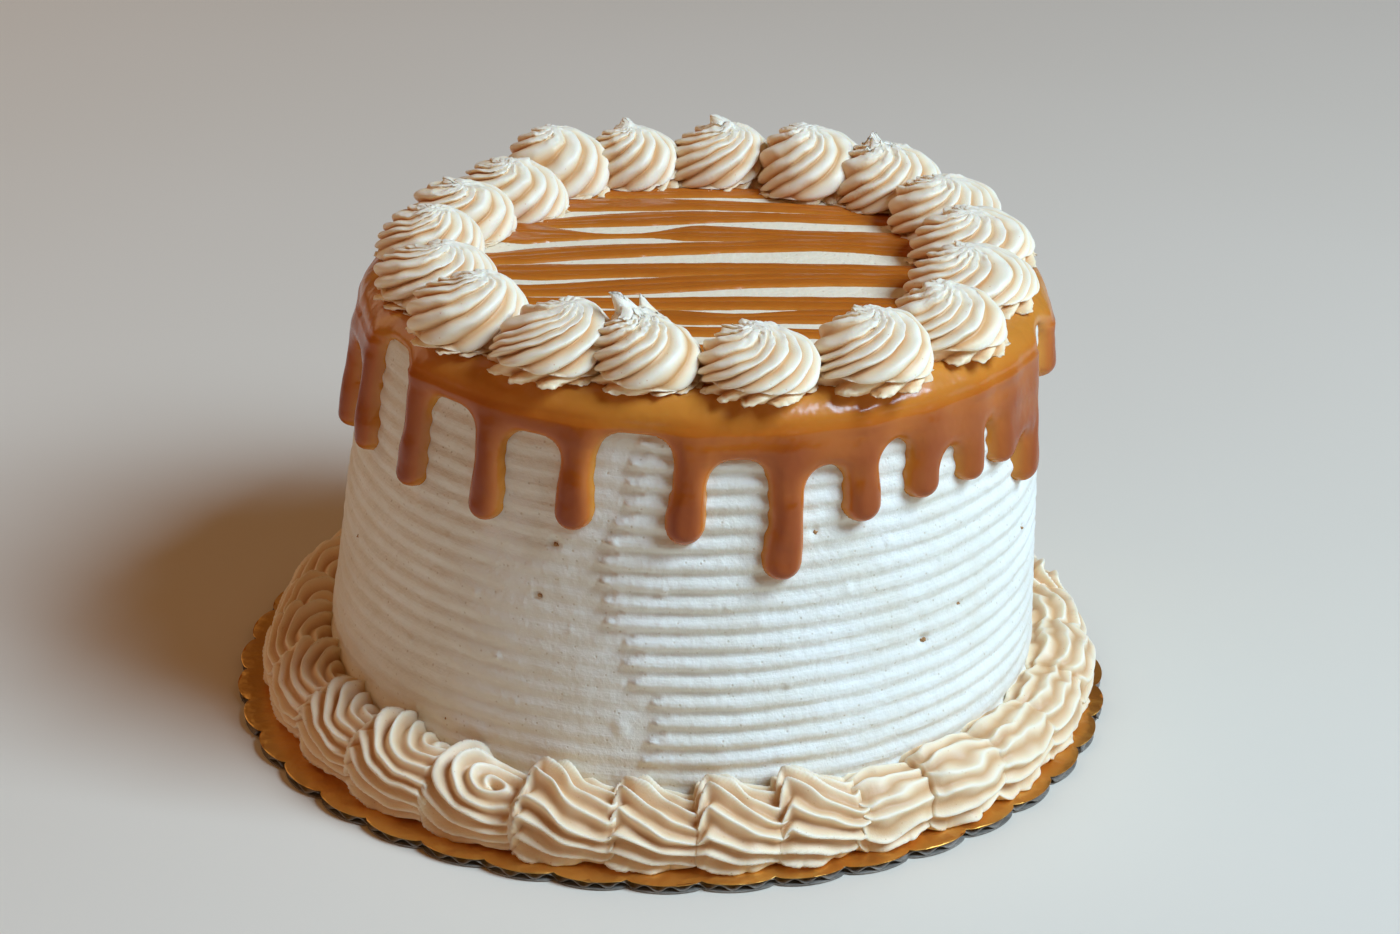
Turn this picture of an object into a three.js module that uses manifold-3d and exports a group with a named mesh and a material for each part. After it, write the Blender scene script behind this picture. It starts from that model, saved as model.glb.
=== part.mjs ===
// Layer cake with comb-ridged buttercream, a caramel drip, a ring of piped
// swirls on top and a shell border at its foot, on a scalloped cake card.
// Millimetres, +Z up. Angles are in degrees, counter-clockwise from +X seen
// from above, so 270 is the front. The origin is the centre of the card's
// underside.
import * as THREE from 'three';
import { mergeVertices } from 'three/addons/utils/BufferGeometryUtils.js';
import Module from 'manifold-3d';

// Driving dimensions
const gap = 0.3; // clearance between neighbouring pieces

const card = {
  tipRadius: 127, // a 254 mm (10 inch) cake circle
  thickness: 3,
  scallops: 40,
  scallopDepth: 2.6,
};

const cake = {
  top: 126.5, // height of the flat buttercream top
  footRadius: 104.3, // wall radius run down to z = 0
  taper: 0.0876, // radius lost for each millimetre of height
  footX: 1.8, // where the cake's axis meets z = 0
  footY: -3.3,
  leanX: 0.0483, // sideways drift of the axis for each millimetre of height
  leanY: -0.0107,
  segments: 36,
  rimDrop: 5, // height over which the top edge rounds off
  unevenness: 0.35,
};

const comb = {
  pitch: 5.5, // tooth spacing of the icing comb
  firstGroove: 8.2,
  lastGroove: 112.7,
  depth: 1.5,
  smearedDepth: 0.55, // left of the seam the scraper flattened the ridges
  seamAngle: 260,
  smearWidth: 46, // how far the flattened stretch runs clockwise of the seam
  smearFade: 12,
  seamFade: 2,
};

const swirlRing = {
  radius: 80,
  crests: 8,
  crestDepth: 0.2, // valley depth as a share of the radius
  twist: 150, // turn of a crest from foot to peak
  rows: 5,
  footRow: 0.8, // share of the way from peak to underside where the foot is
};

// Piped swirls, front right one first, clockwise:
// [angle, shift outward, half width, height, lean of the peak]
const swirls = [
  [299.5, 6, 15.2, 16.2, 2],
  [279, 2.8, 15, 15.2, 3],
  [259.5, -0.3, 14.2, 20, -4],
  [241.8, 2.4, 15.2, 16.3, 2],
  [219.8, 1.8, 14.9, 16.8, 4],
  [198, -2.4, 15.4, 14.6, 3],
  [175.5, -2.5, 14, 14.6, 4],
  [156, -3, 14.5, 13.4, 5],
  [138.5, -4, 14.6, 13.2, 3],
  [121, 4, 14.2, 16.4, 3],
  [105.5, 2, 12.8, 16, 2],
  [89, 3, 14.2, 16.8, -2],
  [67, 1, 15.4, 16.4, 2],
  [51, 4, 15.2, 17.4, 3],
  [30.5, -0.5, 15.4, 12.6, 3],
  [11, -4, 16.4, 12.2, 4],
  [346, -6, 16.6, 12.4, 4],
  [320.5, 2, 15.2, 14.8, 3],
];

const border = {
  shells: 29,
  firstJoint: 246.8, // where one shell starts at the front left
  warp: 2.5, // degrees by which the pitch tightens at the front right
  warpPhase: 225,
  radius: 109, // centre line of the rope
  reachOut: 12,
  reachUp: 13,
  sink: 0.66, // height of the centre above the card as a share of reachUp
  reachBack: 13,
  reachOn: 21,
  eyeAhead: 5.6, // degrees from a joint to the eye of its shell
  eyeBack: 0.15, // where the eye faces: back, in to the wall and up
  eyeIn: 0.55,
  eyeUp: 0.82,
  crestDepth: 2.5,
  tailDrop: 0.12, // fall of the tail for each millimetre along
  sizeSway: 0.05,
  segments: 8,
  rings: 7,
};

const glaze = {
  innerRadius: 82, // hidden under the swirls
  topSkin: 2.2,
  rimSkin: 1.9,
  hem: 0.9, // thickness left at the very edge
  edgeSkin: 2.6, // thickness of the lower edge between two drips
  dripSkin: 4.8, // thickness of a drip's round end
  hiddenDrips: 9, // round the back, in the same manner
  hiddenPitch: 17.6,
};

// Drips that show, anticlockwise from the left side:
// [angle, height of the tip, width, height of the arch after it]
const drips = [
  [188, 84.7, 8, 112],
  [202, 87.6, 8, 122.6],
  [218.5, 87.9, 9, 116],
  [235.5, 87.5, 9.2, 114],
  [251, 90.5, 9.8, 118],
  [268.4, 89.3, 9.8, 112],
  [283.7, 79, 9.8, 109],
  [296.5, 92.2, 9.5, 113],
  [307.5, 94.7, 9.4, 107],
  [318.3, 94.5, 8.2, 110],
  [327.4, 94.5, 8.6, 99.5],
  [337, 83, 9, 122.4],
  [352, 104, 9.5, 114],
];

// One zigzag of drizzle across the top, back to front
const drizzle = {
  strokes: 10,
  turnSpacing: 27.2,
  firstLeftTurn: 65.5,
  firstRightTurn: 57,
  halfGap: 4.9, // from a turn to the strokes that meet there
  width: 9.4,
  thickness: 1.5,
  topShare: 0.86, // the strokes narrow towards their upper side
  reach: 88, // strokes run under the swirls into the glazed rim
};

// Materials
const buttercream = { color: 0xf1e6d3, roughness: 0.62, metalness: 0 };
const pipedCream = { color: 0xf0dfc2, roughness: 0.55, metalness: 0 };
const caramelFinish = { color: 0xb2682c, roughness: 0.22, metalness: 0 };
const goldFoil = { color: 0xc08a3e, roughness: 0.3, metalness: 0.85 };

const wasm = await Module();
wasm.setup();

const model = new THREE.Group();

const { degToRad, radToDeg, lerp, clamp, smoothstep, euclideanModulo } = THREE.MathUtils;

function addPiece(name, geometry, finish) {
  const material = new THREE.MeshStandardMaterial(finish);
  const mesh = new THREE.Mesh(geometry, material);
  mesh.name = name;
  model.add(mesh);
}

// Moves every vertex of a three.js shape, welds its seam and poles and drops
// the triangles that the poles squeeze flat. The result faces outwards.
function sculpt(shape, move) {
  const bare = new THREE.BufferGeometry();
  const position = shape.getAttribute('position').clone();
  bare.setAttribute('position', position);
  bare.setIndex(shape.index);
  const point = new THREE.Vector3();
  for (let i = 0; i < position.count; i++) {
    point.fromBufferAttribute(position, i);
    move(point, i);
    position.setXYZ(i, point.x, point.y, point.z);
  }
  return faceOutwards(mergeVertices(bare, 1e-3));
}

function faceOutwards(geometry) {
  const position = geometry.getAttribute('position');
  const corners = geometry.index.array;
  const kept = [];
  const a = new THREE.Vector3();
  const b = new THREE.Vector3();
  const c = new THREE.Vector3();
  let volume = 0;
  for (let i = 0; i < corners.length; i += 3) {
    const [p, q, r] = corners.slice(i, i + 3);
    if (p === q || q === r || r === p) continue;
    a.fromBufferAttribute(position, p);
    b.fromBufferAttribute(position, q);
    c.fromBufferAttribute(position, r);
    volume += a.dot(b.cross(c));
    kept.push(p, q, r);
  }
  if (volume < 0) kept.reverse();
  geometry.setIndex(kept);
  geometry.computeVertexNormals();
  return geometry;
}

function toManifold(geometry) {
  return new wasm.Manifold(new wasm.Mesh({
    numProp: 3,
    vertProperties: new Float32Array(geometry.getAttribute('position').array),
    triVerts: new Uint32Array(geometry.index.array),
  }));
}

function fromManifold(manifold) {
  const mesh = manifold.getMesh();
  const geometry = new THREE.BufferGeometry();
  geometry.setAttribute('position', new THREE.BufferAttribute(mesh.vertProperties, 3));
  geometry.setIndex(new THREE.BufferAttribute(mesh.triVerts, 1));
  geometry.computeVertexNormals();
  return geometry;
}

// The leaning cake
function axisX(z) {
  return cake.footX + cake.leanX * z;
}

function axisY(z) {
  return cake.footY + cake.leanY * z;
}

function wallRadius(z) {
  return cake.footRadius - cake.taper * z;
}

// Puts a point at an angle and a radius round the cake's axis
function putRound(point, angle, radius, z) {
  point.x = axisX(z) + radius * Math.cos(angle);
  point.y = axisY(z) + radius * Math.sin(angle);
  point.z = z;
}

// Card
function cakeCard() {
  const outline = new THREE.Shape();
  const step = (2 * Math.PI) / card.scallops;
  const corners = [0, 0.3, 0.5, 0.7]; // shares of a scallop: tip, flank, cusp, flank
  for (let i = 0; i < card.scallops * corners.length; i++) {
    const turn = Math.floor(i / corners.length) + corners[i % corners.length];
    const bulge = Math.abs(Math.cos(Math.PI * turn)) ** 0.6;
    const radius = card.tipRadius - card.scallopDepth * (1 - bulge);
    const x = radius * Math.cos(turn * step);
    const y = radius * Math.sin(turn * step);
    if (i === 0) outline.moveTo(x, y);
    else outline.lineTo(x, y);
  }
  outline.closePath();
  const plate = new THREE.ExtrudeGeometry(outline, { depth: card.thickness, bevelEnabled: false });
  plate.deleteAttribute('normal');
  plate.deleteAttribute('uv');
  return sculpt(mergeVertices(plate, 1e-3), () => {});
}

// Frosted cake
function combStrength(angle) {
  const degrees = euclideanModulo(radToDeg(angle), 360);
  const start = comb.seamAngle - comb.smearWidth;
  const fadeIn = smoothstep(degrees, start - comb.smearFade, start);
  const fadeOut = smoothstep(degrees, comb.seamAngle - comb.seamFade, comb.seamAngle);
  return lerp(comb.depth, comb.smearedDepth, fadeIn * (1 - fadeOut));
}

function frostedCake() {
  const bottom = card.thickness + gap;
  const profile = [new THREE.Vector2(0, bottom), new THREE.Vector2(wallRadius(bottom) - 0.6, bottom)];
  const halfPitch = comb.pitch / 2;
  for (let z = comb.firstGroove - halfPitch; z < comb.lastGroove + comb.pitch; z += halfPitch) {
    profile.push(new THREE.Vector2(wallRadius(z), z));
  }
  const rimRadius = wallRadius(cake.top);
  profile.push(new THREE.Vector2(rimRadius, cake.top - cake.rimDrop));
  profile.push(new THREE.Vector2(rimRadius - 0.4 * cake.rimDrop, cake.top - 0.26 * cake.rimDrop));
  profile.push(new THREE.Vector2(rimRadius - 1.2 * cake.rimDrop, cake.top));
  profile.push(new THREE.Vector2(0, cake.top));
  const wall = new THREE.LatheGeometry(profile, cake.segments);
  return sculpt(wall, (point) => {
    const angle = Math.atan2(point.x, point.z) - Math.PI / 2;
    const z = point.y;
    let radius = Math.hypot(point.x, point.z);
    const combed = z > bottom && z < comb.lastGroove + halfPitch + 0.01;
    if (combed) {
      const groove = 0.5 + 0.5 * Math.cos((2 * Math.PI * (z - comb.firstGroove)) / comb.pitch);
      radius -= groove * combStrength(angle);
      radius += cake.unevenness * (Math.sin(3 * angle + z / 20) - 1);
    }
    putRound(point, angle, radius, z);
  });
}

// A block between two upright planes through the cake's axis, used to trim
// the piped pieces against their neighbours and against the wall
function sector(fromAngle, toAngle, innerRadius, outerRadius, bottom, top, clearance) {
  const block = new THREE.BoxGeometry(1, 1, 1, 2, 1, 1);
  return sculpt(block, (point) => {
    const z = point.z > 0 ? top : bottom;
    const radius = point.y > 0 ? outerRadius : innerRadius(z);
    const inset = clearance / Math.max(radius, 1);
    const angle = lerp(fromAngle + inset, toAngle - inset, point.x + 0.5);
    putRound(point, angle, radius, z);
  });
}

// A star-tip swirl: a dome whose crests climb anticlockwise to a leaning peak
function topSwirl(angle, shiftOut, halfWidth, height, lean) {
  const foot = cake.top + glaze.topSkin + 2 * gap;
  const dome = new THREE.SphereGeometry(1, 2 * swirlRing.crests, swirlRing.rows);
  const reach = swirlRing.radius + shiftOut;
  const centreX = axisX(foot) + reach * Math.cos(angle);
  const centreY = axisY(foot) + reach * Math.sin(angle);
  return sculpt(dome, (point) => {
    const turn = Math.atan2(point.z, point.x);
    const polar = Math.acos(clamp(point.y, -1, 1)) / Math.PI;
    const slope = Math.min(polar / swirlRing.footRow, 1) * (Math.PI / 2);
    const underside = polar > 0.99;
    const rise = underside ? 0 : Math.cos(slope) ** 1.1;
    const spread = underside ? 0 : Math.sin(slope) ** 0.85;
    const crest = 0.5 + 0.5 * Math.cos(swirlRing.crests * turn);
    const radius = halfWidth * spread * (1 - swirlRing.crestDepth * (1 - crest));
    const around = degToRad(swirlRing.twist) * rise - turn;
    const tilt = lean * rise ** 2;
    point.x = centreX + radius * Math.cos(around) - tilt * Math.sin(angle);
    point.y = centreY + radius * Math.sin(around) + tilt * Math.cos(angle);
    point.z = foot + height * rise;
  });
}

// A border shell: a ribbed bulb whose crests nest round an eye beside the
// wall and trail off along the border under the next shell
function borderShell(eyeAngle, size) {
  const bulb = new THREE.SphereGeometry(1, border.segments, border.rings);
  const eye = new THREE.Vector3(-border.eyeBack, -border.eyeIn, border.eyeUp).normalize();
  const tip = new THREE.Quaternion().setFromUnitVectors(new THREE.Vector3(0, 1, 0), eye);
  const centreZ = card.thickness + border.sink * border.reachUp * size;
  return sculpt(bulb, (point) => {
    const row = Math.round((Math.acos(clamp(point.y, -1, 1)) / Math.PI) * border.rings);
    const valley = row % 2 === 0 ? border.crestDepth : 0;
    point.applyQuaternion(tip);
    const onward = point.x > 0 ? border.reachOn : border.reachBack;
    const along = point.x * onward * size;
    const outward = point.y * (border.reachOut * size - valley);
    const upward = point.z * (border.reachUp * size - valley);
    const z = centreZ + upward - border.tailDrop * Math.max(along, 0);
    putRound(point, eyeAngle + along / border.radius, border.radius + outward, z);
  });
}

// Glaze: a skin over the rim that runs down into drips. The columns stand
// where the edge turns: arch, flare, side, tip, side, flare.
function allDrips() {
  const last = drips[drips.length - 1];
  const hidden = Array.from({ length: glaze.hiddenDrips }, (_, i) => {
    const sway = Math.sin(2.4 * i + 1);
    const angle = last[0] + (i + 1) * glaze.hiddenPitch + 1.6 * sway + 1.5;
    return [angle, 90 + 6 * Math.sin(1.7 * i), 9 + 0.6 * sway, 114 + 3 * Math.sin(3.1 * i)];
  });
  return [...drips, ...hidden];
}

function edgeColumns() {
  const columns = [];
  const list = allDrips();
  list.forEach(([angle, tip, width, arch], i) => {
    const previous = list[(i + list.length - 1) % list.length];
    const next = list[(i + 1) % list.length];
    const half = radToDeg(width / 2 / wallRadius(tip));
    const nextAngle = next[0] + (i === list.length - 1 ? 360 : 0);
    const skin = glaze.edgeSkin;
    const flare = 1.45 * half;
    columns.push({ angle: angle - flare, z: lerp(tip, previous[3], 0.8), skin });
    columns.push({ angle: angle - half, z: lerp(tip, previous[3], 0.17), skin });
    columns.push({ angle, z: tip, skin: glaze.dripSkin });
    columns.push({ angle: angle + half, z: lerp(tip, arch, 0.17), skin });
    columns.push({ angle: angle + flare, z: lerp(tip, arch, 0.8), skin });
    columns.push({ angle: (angle + nextAngle) / 2, z: arch, skin: 0.8 * skin });
  });
  return columns;
}

function glazedRim() {
  const columns = edgeColumns();
  const rimRadius = wallRadius(cake.top);
  const under = cake.top + gap;
  const section = 7;
  const blank = Array.from({ length: section + 1 }, () => new THREE.Vector2(1, 0));
  const ring = new THREE.LatheGeometry(blank, columns.length);
  return sculpt(ring, (point, i) => {
    const column = columns[Math.floor(i / (section + 1)) % columns.length];
    const edge = column.z;
    const belly = Math.min(edge + 2.6, cake.top - 1.2);
    const hem = Math.min(edge, cake.top - 2.2);
    const inner = Math.max(cake.top - 4.5, hem + 0.4);
    const places = [
      [glaze.innerRadius, under],
      [rimRadius - 4.5, under + glaze.topSkin],
      [rimRadius + glaze.rimSkin, cake.top - 0.8],
      [wallRadius(belly) + column.skin, belly],
      [wallRadius(hem) + glaze.hem, hem],
      [wallRadius(inner) + 0.5, inner],
      [rimRadius - 2.2, under],
    ];
    const [radius, z] = places[i % (section + 1) % section];
    putRound(point, degToRad(column.angle), radius, z);
  });
}

// One stroke of the drizzle, from its left turn to its right turn
function drizzleStroke(number) {
  const leftTurn = drizzle.firstLeftTurn - drizzle.turnSpacing * Math.floor(number / 2);
  const rightTurn = drizzle.firstRightTurn - drizzle.turnSpacing * Math.floor((number - 1) / 2);
  const side = number % 2 === 0 ? 1 : -1;
  const leftY = leftTurn + side * drizzle.halfGap;
  const rightY = rightTurn - side * drizzle.halfGap;
  const bottom = cake.top + gap;
  const centreX = axisX(bottom);
  const strip = new THREE.BoxGeometry(1, 1, 1);
  return sculpt(strip, (point) => {
    const across = lerp(leftY, rightY, point.x + 0.5);
    const halfLength = Math.sqrt(drizzle.reach ** 2 - across ** 2);
    const edge = drizzle.width * (point.z > 0 ? drizzle.topShare : 1);
    const y = across + axisY(bottom) + point.y * edge;
    point.set(centreX + 2 * point.x * halfLength, y, bottom + (point.z + 0.5) * drizzle.thickness);
  });
}

function caramel() {
  let whole = toManifold(glazedRim());
  for (let i = 0; i < drizzle.strokes; i++) {
    whole = whole.add(toManifold(drizzleStroke(i)));
  }
  return fromManifold(whole);
}

// Where the shells start, evenly spaced and then warped
function jointAngle(number) {
  const even = border.firstJoint + (360 / border.shells) * number;
  return degToRad(even + border.warp * Math.sin(3 * degToRad(even - border.warpPhase)));
}

function trimmed(geometry, block) {
  return fromManifold(toManifold(geometry).intersect(toManifold(block)));
}

function twoDigits(number) {
  return String(number).padStart(2, '0');
}

addPiece('cake_card', cakeCard(), goldFoil);
addPiece('frosted_cake', frostedCake(), buttercream);
addPiece('caramel', caramel(), caramelFinish);

swirls.forEach(([angle, shiftOut, halfWidth, height, lean], i) => {
  const before = swirls[(i + 1) % swirls.length][0];
  const after = swirls[(i + swirls.length - 1) % swirls.length][0];
  const from = degToRad(angle - euclideanModulo(angle - before, 360) / 2);
  const to = degToRad(angle + euclideanModulo(after - angle, 360) / 2);
  const foot = cake.top + glaze.topSkin + 2 * gap;
  const wedge = sector(from, to, () => 30, 120, foot, foot + 40, gap / 2);
  const piped = topSwirl(degToRad(angle), shiftOut, halfWidth, height, lean);
  addPiece(`top_swirl_${twoDigits(i + 1)}`, trimmed(piped, wedge), pipedCream);
});

for (let i = 0; i < border.shells; i++) {
  const foot = card.thickness + gap;
  const from = jointAngle(i);
  const besideWall = (z) => wallRadius(z) + 2 * gap;
  const wedge = sector(from, jointAngle(i + 1), besideWall, 140, foot, foot + 40, gap / 2);
  const size = 1 + border.sizeSway * Math.sin(2.3 * i + 2);
  const piped = borderShell(from + degToRad(border.eyeAhead), size);
  addPiece(`base_shell_${twoDigits(i + 1)}`, trimmed(piped, wedge), pipedCream);
}

export default model;
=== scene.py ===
import math
import random
import bmesh
import bpy
from mathutils import Matrix, Vector, noise


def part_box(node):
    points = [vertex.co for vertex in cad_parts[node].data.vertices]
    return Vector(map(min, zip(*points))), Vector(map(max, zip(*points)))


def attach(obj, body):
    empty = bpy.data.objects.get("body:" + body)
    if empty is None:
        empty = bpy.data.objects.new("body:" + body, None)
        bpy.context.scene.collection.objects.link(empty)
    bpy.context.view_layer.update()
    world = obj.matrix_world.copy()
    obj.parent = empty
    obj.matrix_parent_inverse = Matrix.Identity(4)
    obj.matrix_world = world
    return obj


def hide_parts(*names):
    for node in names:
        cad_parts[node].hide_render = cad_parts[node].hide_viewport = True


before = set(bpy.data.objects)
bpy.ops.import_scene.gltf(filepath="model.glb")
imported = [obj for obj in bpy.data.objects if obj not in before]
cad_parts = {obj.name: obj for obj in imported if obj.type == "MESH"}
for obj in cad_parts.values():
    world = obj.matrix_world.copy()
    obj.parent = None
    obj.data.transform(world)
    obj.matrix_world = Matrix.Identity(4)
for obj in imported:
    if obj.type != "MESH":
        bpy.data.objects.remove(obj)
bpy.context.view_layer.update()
noise.seed_set(5)  # noise_vector starts from the clock without this
print("frame loaded,", len(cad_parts), "CAD nodes")

mm = 0.001  # all pieces are shaped in millimetres and brought to metres at the end
detail = 1


# Small helpers
def clamp(value, low=0.0, high=1.0):
    return max(low, min(high, value))


def ease(value, start, end):
    t = clamp((value - start) / (end - start))
    return t * t * (3 - 2 * t)


def mix(a, b, t):
    return a + (b - a) * t


def smoothMax(a, b, blend):
    near = max(blend - abs(a - b), 0) / blend
    return max(a, b) + near * near * blend / 4


def turnBetween(a, b):
    # smallest turn from b to a, in degrees
    return (a - b + 180) % 360 - 180


def follow(knots, t):
    # smooth curve through a few (place, value) knots
    if t <= knots[0][0]:
        return knots[0][1]
    if t >= knots[-1][0]:
        return knots[-1][1]
    i = 0
    while t > knots[i + 1][0]:
        i += 1
    x0, y0 = knots[i]
    x1, y1 = knots[i + 1]
    before = knots[max(i - 1, 0)]
    after = knots[min(i + 2, len(knots) - 1)]
    slopeIn = (y1 - before[1]) / (x1 - before[0])
    slopeOut = (after[1] - y0) / (after[0] - x0)
    width = x1 - x0
    s = (t - x0) / width
    s2 = s * s
    s3 = s2 * s
    return ((2 * s3 - 3 * s2 + 1) * y0 + (s3 - 2 * s2 + s) * width * slopeIn
            + (3 * s2 - 2 * s3) * y1 + (s3 - s2) * width * slopeOut)


def rough(x, y, z):
    return noise.noise((x, y, z))


# The cake's own shape, which leans a little: sizes in mm, angles in degrees
# anticlockwise seen from above, 270 at the front
cake = dict(
    top=126.5, footRadius=104.3, taper=0.0876, rimRound=5.0,
    footX=1.8, footY=-3.3, leanX=0.0483, leanY=-0.0107,
)
cardTop = 3.0


def wallRadius(z):
    return cake["footRadius"] - cake["taper"] * z


def putRound(angle, radius, z):
    turn = math.radians(angle)
    x = cake["footX"] + cake["leanX"] * z + radius * math.cos(turn)
    y = cake["footY"] + cake["leanY"] * z + radius * math.sin(turn)
    return Vector((x, y, z))


def wrappedBody(columns, rows, place, extra=None):
    # a sphere's net, closed at both poles; place(turn, share) gives each point
    bm = bmesh.new()
    bmesh.ops.create_uvsphere(bm, u_segments=columns, v_segments=rows, radius=1)
    layer = bm.verts.layers.float.new(extra) if extra else None
    for v in bm.verts:
        turn = math.atan2(v.co.y, v.co.x)
        share = math.acos(clamp(v.co.z, -1, 1)) / math.pi
        if extra:
            v.co, v[layer] = place(turn, share)
        else:
            v.co = place(turn, share)
    return bm


def finishPiece(name, bm, material, nodes):
    bmesh.ops.scale(bm, vec=(mm, mm, mm), verts=bm.verts)
    bmesh.ops.recalc_face_normals(bm, faces=bm.faces)
    mesh = bpy.data.meshes.new(name)
    bm.to_mesh(mesh)
    bm.free()
    mesh.shade_smooth()
    mesh.materials.append(material)
    piece = bpy.data.objects.new(name, mesh)
    bpy.context.scene.collection.objects.link(piece)
    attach(piece, "root")
    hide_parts(*nodes)
    return piece


# Materials
def linear(hexColour):
    # sRGB hex to the linear colour that a shader takes
    parts = [int(hexColour[i:i + 2], 16) / 255 for i in (0, 2, 4)]
    parts = [c / 12.92 if c <= 0.04045 else ((c + 0.055) / 1.055) ** 2.4 for c in parts]
    return (*parts, 1)


def addNode(material, kind, inputs=None, **settings):
    node = material.node_tree.nodes.new(kind)
    for key, value in settings.items():
        setattr(node, key, value)
    for key, value in (inputs or {}).items():
        if isinstance(value, bpy.types.NodeSocket):
            material.node_tree.links.new(value, node.inputs[key])
        else:
            node.inputs[key].default_value = value
    return node


def newMaterial(name):
    material = bpy.data.materials.new(name)
    material.use_nodes = True
    material.node_tree.nodes.clear()
    return material


def perMetre(millimetres):
    # texture scale for a feature of that size on Object coordinates
    return 1 / (millimetres * mm)


def mixColour(material, share, first, second):
    node = addNode(material, "ShaderNodeMix", {0: share, 6: first, 7: second}, data_type="RGBA")
    return node.outputs[2]


def finishMaterial(material, inputs):
    shader = addNode(material, "ShaderNodeBsdfPrincipled", inputs)
    addNode(material, "ShaderNodeOutputMaterial", {"Surface": shader.outputs[0]})
    return material


def makeButtercream():
    # Whipped butter and sugar icing, drawn with a metal comb: matt, near white,
    # with fine pores, faint drag streaks and a soft glow in thin edges
    look = dict(
        # the colour for the top is painted warmth, standing in for the warmer light on the top face,
        # and the colour after it is painted shade for the pores
        pale="f0ede0", shade="e6dfcc", top="fae8c6", warmLightFrom=124.5, warmLightTo=126, poreShade="c9b797",
        pore=2.7, grain=1.44, streak=1.1, mottle=22, pebble=2.6,
    )
    m = newMaterial("combedButtercream")
    place = addNode(m, "ShaderNodeTexCoord").outputs["Object"]
    mottle = addNode(m, "ShaderNodeTexNoise", {
        "Vector": place, "Scale": perMetre(look["mottle"]), "Detail": 5, "Roughness": 0.6})
    grain = addNode(m, "ShaderNodeTexNoise", {
        "Vector": place, "Scale": perMetre(look["grain"]), "Detail": 4, "Roughness": 0.7})
    pores = addNode(m, "ShaderNodeTexVoronoi", {"Vector": place, "Scale": perMetre(look["pore"])})
    # pits for the pores, also used below as painted shade inside them
    porePitsAndShade = addNode(m, "ShaderNodeMapRange", {
        "Value": pores.outputs["Distance"], "From Min": 0.06, "From Max": 0.16,
        "To Min": 0.55, "To Max": 0})
    stretch = addNode(m, "ShaderNodeMapping", {"Vector": place, "Scale": (0.06, 0.06, 1)})
    streaks = addNode(m, "ShaderNodeTexNoise", {
        "Vector": stretch.outputs[0], "Scale": perMetre(look["streak"]), "Detail": 3})
    tone = addNode(m, "ShaderNodeMapRange", {
        "Value": mottle.outputs[0], "From Min": 0.35, "From Max": 0.7})
    base = mixColour(m, tone.outputs[0], linear(look["pale"]), linear(look["shade"]))
    height = addNode(m, "ShaderNodeSeparateXYZ", {"Vector": place})
    # the top face is painted a warmer cream than the wall, standing in for the warmer light that falls
    # on it
    paintedWarmLightOnTop = addNode(m, "ShaderNodeMapRange", {
        "Value": height.outputs["Z"], "From Min": look["warmLightFrom"] * mm, "From Max": look["warmLightTo"] * mm,
        "To Max": 0.9})
    base = mixColour(m, paintedWarmLightOnTop.outputs[0], base, linear(look["top"]))
    # painted shade in the pores, darkening the pits
    base = mixColour(m, porePitsAndShade.outputs[0], base, linear(look["poreShade"]))
    relief = addNode(m, "ShaderNodeMath", {
        0: grain.outputs[0], 1: streaks.outputs[0]}, operation="ADD")
    pits = addNode(m, "ShaderNodeMath", {
        0: relief.outputs[0], 1: porePitsAndShade.outputs[0]}, operation="SUBTRACT")
    pebbles = addNode(m, "ShaderNodeTexNoise", {
        "Vector": place, "Scale": perMetre(look["pebble"]), "Detail": 3, "Roughness": 0.55})
    swell = addNode(m, "ShaderNodeBump", {
        "Height": pebbles.outputs[0], "Strength": 0.5, "Distance": 0.7 * mm})
    bump = addNode(m, "ShaderNodeBump", {
        "Height": pits.outputs[0], "Strength": 0.55, "Distance": 0.35 * mm, "Normal": swell.outputs[0]})
    gloss = addNode(m, "ShaderNodeMapRange", {
        "Value": grain.outputs[0], "To Min": 0.5, "To Max": 0.72})
    return finishMaterial(m, {
        "Base Color": base, "Roughness": gloss.outputs[0], "Normal": bump.outputs[0],
        "Subsurface Weight": 0.12, "Subsurface Radius": (0.9, 0.6, 0.4), "Subsurface Scale": 3 * mm,
        "IOR": 1.46})


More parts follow.
